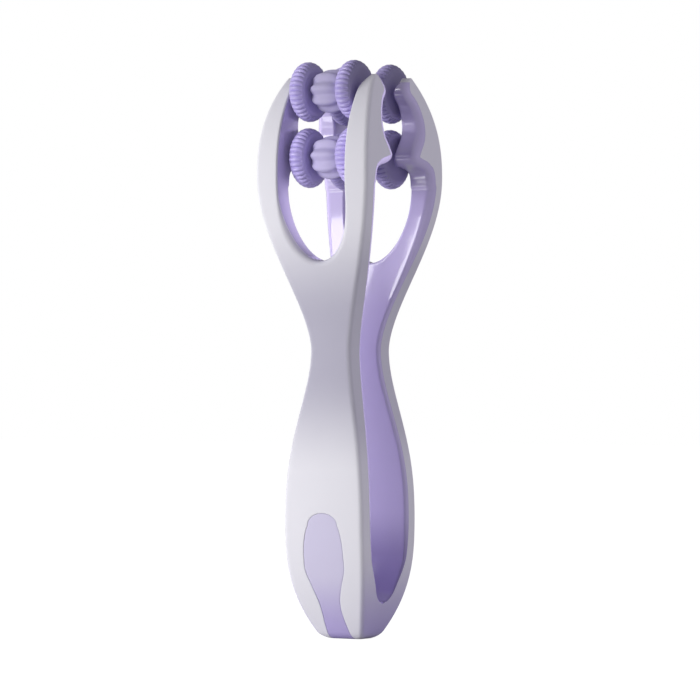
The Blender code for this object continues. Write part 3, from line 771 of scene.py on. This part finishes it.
def grip_rubber():
    """Grip: matt lavender, with painted shade that deepens it down the tail."""
    # Painted shade: the grip's colour deepens towards its tail
    tail = (0.0, 2 * MM, 20 * MM)
    return moulded(
        "grip_rubber", deep=(0.45, 0.385, 0.67), pale=(0.62, 0.585, 0.75), roughness=0.5,
        grain_size=0.2 * MM, shade_ramp=tail,
    )


def wheel_plastic():
    """Wheels: satin purple with a soft gloss."""
    made = moulded(
        "wheel_plastic", deep=(0.42, 0.365, 0.67), pale=(0.45, 0.39, 0.70), roughness=0.38,
        grain_size=0.22 * MM,
    )
    glossy_coat(made, weight=0.55, index=1.7, roughness=0.35)
    return made


def ball_plastic():
    """Balls: satin, and paler than the wheels."""
    return moulded(
        "ball_plastic", deep=(0.58, 0.53, 0.78), pale=(0.61, 0.56, 0.81), roughness=0.42,
        grain_size=0.22 * MM,
    )


def axle_steel():
    """Axles: drawn steel, slightly clouded."""
    made = moulded(
        "axle_steel", deep=(0.50, 0.50, 0.52), pale=(0.62, 0.62, 0.64), roughness=0.28,
        grain_size=0.3 * MM,
    )
    made.node_tree.nodes["Principled BSDF"].inputs["Metallic"].default_value = 1.0
    return made


PALE, PURPLE, GRIP = pale_plastic(), core_plastic(), grip_rubber()
WHEEL, BALL, STEEL = wheel_plastic(), ball_plastic(), axle_steel()


# Arms

SKIN, CORE, CAP, SPOON = skin_mesh(), core_mesh(), cap_mesh(), grip_mesh()


def add_arm(arm, half_turn):
    """Skin, lining, grip and tips of one arm, and the finish of its axles."""
    def own(mesh, part):
        return turned(mesh, f"{arm}_{part}") if half_turn else mesh.copy()

    for part, mesh, finish, slot, nodes in (
        ("skin", SKIN, PALE, "shell", (f"{arm}_arm_shell", "base_shell")),
        ("lining", CORE, PURPLE, "core", (f"{arm}_arm_core", "base_core")),
        ("grip", SPOON, GRIP, "pad", (f"{arm}_thumb_pad",)),
    ):
        piece = shown(f"{arm}_{part}", own(mesh, part), finish)
        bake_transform(piece)
        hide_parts(*nodes)
    tips = shown(f"{arm}_tips", own(CAP, "tips"), PALE)
    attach(tips, f"{arm}_arm")
    for level in ("lower", "upper"):
        axle = frame["nodes"][f"{arm}_{level}_axle"]
        axle.data.materials.clear()
        axle.data.materials.append(STEEL)


# Rollers, about their own centres with the axle along X

def turned_mesh(name, profile, sides, radius_at):
    """Closed ring-shaped skin: profile gives (along, radius) round the section, and radius_at varies it."""
    work = bmesh.new()
    rings = []
    for k, (along, radius) in enumerate(profile):
        ring = []
        for i in range(sides):
            turn = 2 * math.pi * i / sides
            size = radius_at(k, radius, turn)
            ring.append(work.verts.new((along, size * math.cos(turn), size * math.sin(turn))))
        rings.append(ring)
    for k, ring in enumerate(rings):
        after = rings[(k + 1) % len(rings)]
        for i in range(sides):
            j = (i + 1) % sides
            work.faces.new((ring[i], ring[j], after[j], after[i]))
    bmesh.ops.recalc_face_normals(work, faces=work.faces)
    mesh = bpy.data.meshes.new(name)
    work.to_mesh(mesh)
    work.free()
    mesh.shade_smooth()
    mesh.set_sharp_from_angle(angle=ROLLER_CREASE)
    return mesh


def wheel_mesh():
    """Wheel whose ribs wrap the tyre and fade out down its smooth sides."""
    centre = WHEEL_RADIUS - TYRE_RADIUS
    half_web = WHEEL_WEB / 2
    root = 180 - math.degrees(math.asin(half_web / TYRE_RADIUS))
    turns = even_steps(-root, root, TYRE_STEP)
    tyre = []
    shares = []
    for turn in turns:
        angle = math.radians(turn)
        tyre.append((TYRE_RADIUS * math.sin(angle), centre + TYRE_RADIUS * math.cos(angle)))
        shares.append(ease(min(max((RIB_SPREAD + RIB_FADE / 2 - abs(turn)) / RIB_FADE, 0.0), 1.0)))
    hub = [
        (half_web, HUB_RADIUS + HUB_FOOT), (half_web + HUB_FOOT_REACH, HUB_RADIUS),
        (HUB_REACH - HUB_CHAMFER, HUB_RADIUS), (HUB_REACH, HUB_RADIUS - HUB_CHAMFER),
        (HUB_REACH, BORE_RADIUS), (-half_web, BORE_RADIUS),
    ]
    shares += [0.0] * len(hub)

    def radius_at(k, radius, turn):
        wave = abs(math.sin(RIB_COUNT * turn / 2)) ** RIB_BLUNTNESS
        return radius - RIB_HEIGHT * shares[k] * (1 - wave)

    return turned_mesh("wheel", tyre + hub, RIB_COUNT * RIB_SIDES, radius_at)


def ball_mesh():
    """Ball with blunt, pointed lobes round the axle; between them it is slimmer and rounder."""
    places = [-math.cos(math.pi * i / BALL_SECTIONS) for i in range(BALL_SECTIONS + 1)]
    profile = [(-BALL_HALF_LENGTH, BORE_RADIUS, BORE_RADIUS)]
    for place in places:
        bulge = (1 - abs(place) ** RIDGE_BULGE) ** RIDGE_ROUNDNESS
        ridge = BALL_END_RADIUS + (BALL_RADIUS - BALL_END_RADIUS) * bulge
        valley = VALLEY_END_RADIUS + (VALLEY_RADIUS - VALLEY_END_RADIUS) * math.sqrt(1 - place ** 2)
        profile.append((BALL_HALF_LENGTH * place, ridge, valley))
    profile.append((BALL_HALF_LENGTH, BORE_RADIUS, BORE_RADIUS))

    def radius_at(k, radius, turn):
        wave = (1 + math.cos(LOBE_COUNT * (turn - LOBE_TURN))) / 2
        return profile[k][2] + (profile[k][1] - profile[k][2]) * wave

    return turned_mesh("ball", [row[:2] for row in profile], LOBE_COUNT * LOBE_SIDES, radius_at)


WHEEL_SHAPE, BALL_SHAPE = wheel_mesh(), ball_mesh()


def add_roller(node_name, label, mesh, finish, centre, half_turn=False):
    """Roller that turns with its CAD node's body and stands for that node."""
    roller = shown(label, mesh, finish)
    roller.location = centre
    if half_turn:
        roller.rotation_euler = (0, 0, math.pi)
    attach(roller, node_name)
    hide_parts(node_name)


def add_rollers(arm):
    """Two wheels and a ball on each of an arm's axles."""
    for level in ("lower", "upper"):
        centre = middle_of(f"{arm}_{level}_ball")
        add_roller(f"{arm}_{level}_ball", f"{arm}_{level}_lobed_ball", BALL_SHAPE, BALL, centre)
        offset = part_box(f"{arm}_{level}_right_wheel")[0].x + TYRE_RADIUS
        for side, sign in (("left", -1), ("right", 1)):
            place = Vector((sign * offset, centre.y, centre.z))
            node_name = f"{arm}_{level}_{side}_wheel"
            label = f"{arm}_{level}_{side}_ribbed_wheel"
            add_roller(node_name, label, WHEEL_SHAPE, WHEEL, place, half_turn=sign < 0)


# Floor, light and camera

WHITE, COOL, BLUISH, LILAC = (1, 1, 1), (0.97, 0.95, 1.0), (0.95, 0.93, 1.0), (0.89, 0.85, 1.0)
MID_HEIGHT = (0, 0, 0.085)
FOOT = (0, 0, 0.02)
# Each lamp's size is its width and height. With only, it lights just the pieces whose names end so.
LAMPS = (
    dict(name="key", place=(-0.60, -0.87, 0.25), size=(0.6, 0.5), watts=6.15),
    dict(name="bounce", place=(-0.12, -0.20, 0.03), size=(0.12, 0.05), watts=0.16, aim=FOOT,
         only=("skin", "grip")),
    dict(name="side", place=(0.95, 0.42, 0.25), size=(0.4, 0.8), watts=4.2, colour=LILAC,
         only=("skin", "lining", "grip", "tips", "ball")),
    dict(name="rim", place=(-1.0, -0.12, 0.30), size=(0.4, 0.8), watts=2.5),
    dict(name="fill", place=(0.62, -0.92, 0.20), size=(0.4, 0.4), watts=1.5, colour=BLUISH, only=("lining",)),
    dict(name="edge", place=(1.0, 0.15, 0.15), size=(0.3, 0.3), watts=7.5, colour=COOL,
         only=("front_lining",)),
    dict(name="inner", place=(0.62, -0.92, 0.06), size=(0.3, 0.1), watts=1.6, colour=BLUISH,
         only=("left_ribbed_wheel",)),
    dict(name="channel", place=(-1.0, -0.20, 0.15), size=(0.2, 0.3), watts=13.0, colour=COOL,
         only=("lining",)),
    dict(name="tread", place=(-0.36, -0.95, 0.10), size=(0.3, 0.3), watts=3.6, colour=COOL, only=("wheel",),
         mirrored=True),
    dict(name="low", place=(-0.45, -0.90, 0.06), size=(0.3, 0.3), watts=2.6, colour=COOL,
         only=("front_lower_left_ribbed_wheel", "front_lower_right_ribbed_wheel", "front_lower_lobed_ball")),
    # The last two only show as reflections in the rear arm's polished core
    dict(name="sheen", place=(-0.62, -0.86, 0.70), size=(0.5, 0.4), watts=2.3, only=("rear_lining",),
         diffuse=False, mirrored=True),
    dict(name="card", place=(-0.15, -0.23, 0.003), size=(0.12, 0.14), watts=0.13, aim=(-0.15, -0.23, 1.0),
         only=("rear_lining",), diffuse=False, mirrored=True),
)
WORLD_COLOUR = (0.92, 0.90, 1.0)
WORLD_STRENGTH = 0.25
FLOOR_COLOUR = (0.85, 0.85, 0.85)
FLOOR_ROUGHNESS = 0.9
FLOOR_HALF_SIZE = 3.0
FLOOR_WHITE_SHARE = 0.7
FLOOR_WHITE_STRENGTH = 1.38


def add_light(name, place, size, watts, colour=WHITE, aim=MID_HEIGHT, only=(), diffuse=True, mirrored=False):
    """Area lamp that the camera doesn't see; mirrored lets glossy surfaces reflect it."""
    lamp = bpy.data.lights.new(name, "AREA")
    lamp.shape = "RECTANGLE"
    lamp.size, lamp.size_y = size
    lamp.energy = watts
    lamp.color = colour
    made = bpy.data.objects.new(name, lamp)
    made.location = place
    made.rotation_mode = "QUATERNION"
    made.rotation_quaternion = (Vector(aim) - made.location).to_track_quat("-Z", "Y")
    made.visible_camera = False
    made.visible_diffuse = diffuse
    made.visible_glossy = mirrored
    bpy.context.scene.collection.objects.link(made)
    if only:
        lit = bpy.data.collections.new("lit by the " + name)
        for piece in bpy.context.scene.objects:
            if piece.type == "MESH" and piece.name.endswith(only):
                lit.objects.link(piece)
        made.light_linking.receiver_collection = lit


def white_seen(tree, output, lit, white_kind, share, strength):
    """Mixes a lit surface with a share of plain white, for the camera alone."""
    path = node(tree, "ShaderNodeLightPath")
    seen = math_node(tree, "MULTIPLY", path.outputs["Is Camera Ray"], share)
    white = node(tree, white_kind, Color=(1, 1, 1, 1), Strength=strength)
    mix = node(tree, "ShaderNodeMixShader")
    tree.links.new(seen, mix.inputs["Fac"])
    tree.links.new(lit.outputs[0], mix.inputs[1])
    tree.links.new(white.outputs[0], mix.inputs[2])
    tree.links.new(mix.outputs["Shader"], output)


def add_floor():
    """Pale floor that keeps the object's shadow."""
    mesh = bpy.data.meshes.new("floor")
    half = FLOOR_HALF_SIZE
    corners = [(-half, -half, 0), (half, -half, 0), (half, half, 0), (-half, half, 0)]
    mesh.from_pydata(corners, [], [(0, 1, 2, 3)])
    made = bpy.data.materials.new("floor_white")
    made.use_nodes = True
    tree = made.node_tree
    lit = tree.nodes["Principled BSDF"]
    lit.inputs["Base Color"].default_value = (*FLOOR_COLOUR, 1)
    lit.inputs["Roughness"].default_value = FLOOR_ROUGHNESS
    output = tree.nodes["Material Output"].inputs["Surface"]
    white_seen(tree, output, lit, "ShaderNodeEmission", FLOOR_WHITE_SHARE, FLOOR_WHITE_STRENGTH)
    mesh.materials.append(made)
    floor = bpy.data.objects.new("floor", mesh)
    bpy.context.scene.collection.objects.link(floor)


def add_world():
    """Faint light from all round, and a white background for the camera."""
    world = bpy.data.worlds.new("studio")
    bpy.context.scene.world = world
    world.use_nodes = True
    tree = world.node_tree
    lit = tree.nodes["Background"]
    lit.inputs["Color"].default_value = (*WORLD_COLOUR, 1)
    lit.inputs["Strength"].default_value = WORLD_STRENGTH
    output = tree.nodes["World Output"].inputs["Surface"]
    white_seen(tree, output, lit, "ShaderNodeBackground", share=1.0, strength=1.0)


def add_camera():
    """Camera at the photo's angle and distance, level with the object, with no shift."""
    data = bpy.data.cameras.new("camera")
    data.lens = LENS
    data.sensor_width = SENSOR
    distance = LENS / SENSOR * IMAGE_PIXELS * MM_PER_PIXEL * MM
    turn, rise = math.radians(VIEW_AZIMUTH), math.radians(VIEW_ELEVATION)
    back = Vector((math.sin(turn) * math.cos(rise), -math.cos(turn) * math.cos(rise), math.sin(rise)))
    right = Vector((math.cos(turn), math.sin(turn), 0))
    height = (FOOT_PIXEL - IMAGE_PIXELS / 2) * MM_PER_PIXEL * MM
    side = (IMAGE_PIXELS / 2 - AXIS_PIXEL) * MM_PER_PIXEL * MM
    camera = bpy.data.objects.new("camera", data)
    camera.location = Vector((0, 0, height)) + right * side + back * distance
    camera.rotation_mode = "QUATERNION"
    camera.rotation_quaternion = (-back).to_track_quat("-Z", "Y")
    bpy.context.scene.collection.objects.link(camera)
    bpy.context.scene.camera = camera


for arm, half_turn in (("rear", False), ("front", True)):
    add_arm(arm, half_turn)
    add_rollers(arm)

add_floor()
add_world()
for lamp_values in LAMPS:
    add_light(**lamp_values)
add_camera()
bpy.context.scene.view_settings.view_transform = "Standard"
